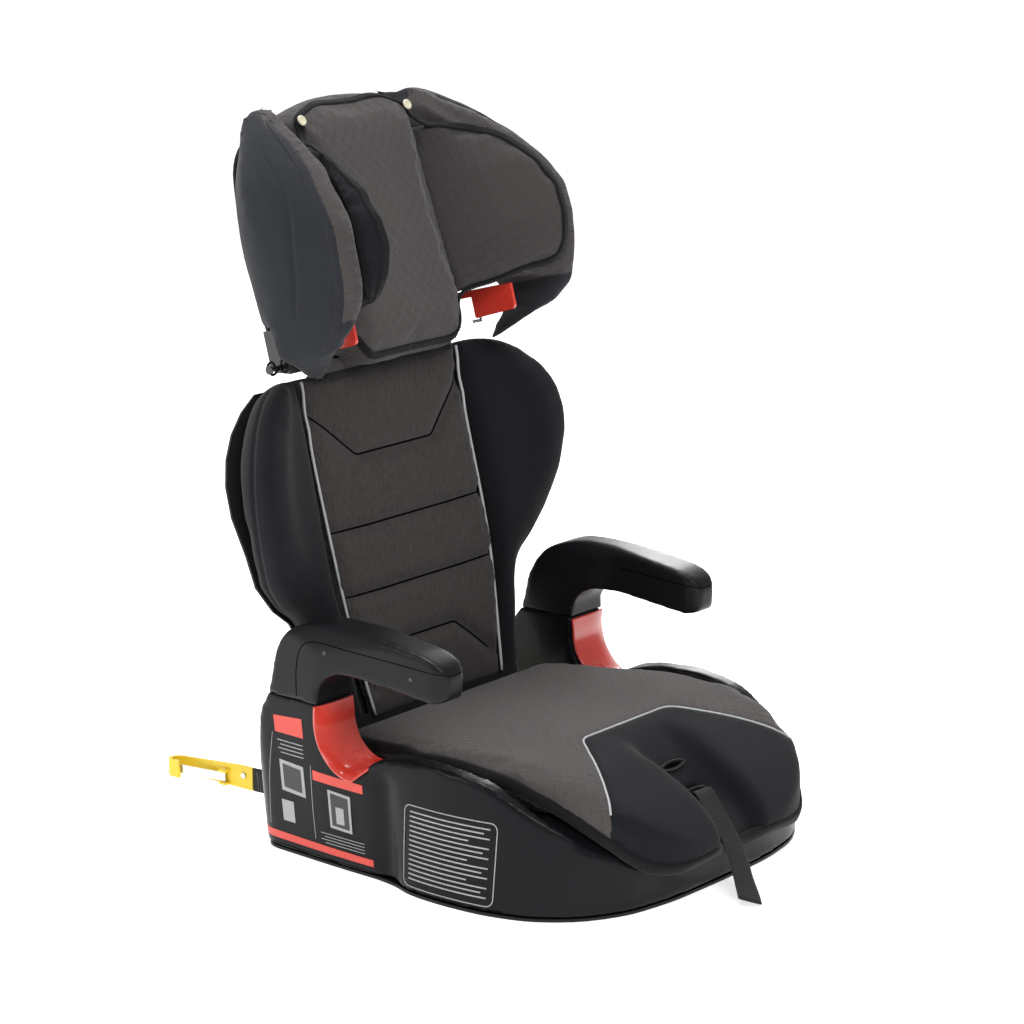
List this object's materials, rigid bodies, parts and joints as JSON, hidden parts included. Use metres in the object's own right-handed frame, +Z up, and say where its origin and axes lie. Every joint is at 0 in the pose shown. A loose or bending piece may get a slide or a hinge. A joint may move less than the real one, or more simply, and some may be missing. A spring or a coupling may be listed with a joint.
{
  "type": "child booster seat",
  "caption": "High-back child booster seat with a hollow base, armrests and belt guides, a pivoting back, a headrest that slides up in steps, and strap hooks at the rear.",
  "frame": {"origin": "centre of the base's footprint on the floor", "axes": "+Z up, the child faces -Y, +X on the child's left"},
  "size_m": [0.46, 0.7029, 0.7092],
  "materials": {
    "shell_black": "satin moulded",
    "part_black": "fine textured",
    "guide_red": "glossy moulded",
    "lever_red": "satin moulded",
    "hook_yellow": "satin zinc-yellow coat",
    "steel": "plain",
    "spring_steel": "bright",
    "stop_rubber": "dull",
    "taupe_fabric": "embossed woven cover",
    "back_fabric": "cross-woven cover with sewn channels",
    "slate_fabric": "smooth cover",
    "black_fabric": "smooth cover",
    "webbing": "woven polyester",
    "elastic": "round elastic",
    "button_cream": "moulded"
  },
  "bodies": {
    "base": {"base_shell": "shell_black", "bottom_pan": "part_black", "seat_cushion": "taupe_fabric", "pan_screws": "steel", "arm_left": "shell_black", "arm_right": "shell_black", "arm_under_left": "shell_black", "arm_under_right": "shell_black", "arm_screws": "steel", "belt_guide_left": "guide_red", "belt_guide_right": "guide_red", "hinge_rod": "steel", "rod_brackets": "part_black", "rear_stops": "stop_rubber", "adjuster_frame": "steel", "adjuster_spring": "spring_steel", "front_strap": "webbing", "strap_anchors": "steel", "connector_strap_left": "webbing", "connector_strap_right": "webbing", "hook_left": "hook_yellow", "hook_right": "hook_yellow", "hook_rivets": "steel"},
    "back": {"back_shell": "part_black", "back_flank_right": "part_black", "back_flank_left": "part_black", "back_pad": "back_fabric", "back_wing_pad_left": "black_fabric", "back_wing_pad_right": "black_fabric", "back_hooks": "part_black", "height_rack_left": "part_black", "height_rack_right": "part_black", "back_screws": "steel"},
    "head": {"head_shell": "part_black", "head_slider": "part_black", "head_pad": "taupe_fabric", "head_inner_pad_right": "taupe_fabric", "head_inner_pad_left": "taupe_fabric", "head_flap": "taupe_fabric", "head_wing_pad_left": "slate_fabric", "head_wing_pad_right": "slate_fabric", "shoulder_guide_left": "guide_red", "shoulder_guide_right": "guide_red", "guide_bracket_left": "part_black", "guide_bracket_right": "part_black", "guide_clips": "steel", "snap_buttons": "button_cream", "cover_loops": "elastic", "slider_screws": "steel", "handle_spring": "spring_steel"},
    "handle": {"release_handle": "lever_red"},
    "lock": {"lock_bar": "steel"},
    "button": {"adjuster_button": "part_black"},
    "gate_l": {"gate_left": "spring_steel"},
    "gate_r": {"gate_right": "spring_steel"}
  },
  "joints": [
    {"name": "back_recline", "type": "hinge", "parent": "base", "child": "back", "pos_m": [0, 0.158, 0.08], "axis": [1, 0, 0], "range_deg": [0, 5]},
    {"name": "head_height", "type": "slide", "parent": "back", "child": "head", "axis": [0, 0.2588, 0.9659], "range_m": [0, 0.15]},
    {"name": "handle_pull", "type": "slide", "parent": "head", "child": "handle", "axis": [0, 0.2588, 0.9659], "range_m": [0, 0.01], "stiffness_N_per_m": 900, "springref_m": -0.004},
    {"name": "lock_slide", "type": "slide", "parent": "head", "child": "lock", "axis": [0, 0.9659, -0.2588], "range_m": [0, 0.009]},
    {"name": "button_press", "type": "slide", "parent": "base", "child": "button", "axis": [0, 0.6428, -0.766], "range_m": [0, 0.004], "stiffness_N_per_m": 800, "springref_m": -0.003},
    {"name": "gate_left_swing", "type": "hinge", "parent": "base", "child": "gate_l", "pos_m": [-0.0898, 0.35, 0.011], "axis": [0, 0, 1], "range_deg": [-11, 0], "stiffness_Nm_per_rad": 0.05, "springref_deg": 5.73},
    {"name": "gate_right_swing", "type": "hinge", "parent": "base", "child": "gate_r", "pos_m": [0.0898, 0.35, 0.011], "axis": [0, 0, 1], "range_deg": [0, 11], "stiffness_Nm_per_rad": 0.05, "springref_deg": -5.73}
  ],
  "couplings": [
    {"joint": "lock_slide", "follows": "handle_pull", "ratio": 0.9}
  ]
}
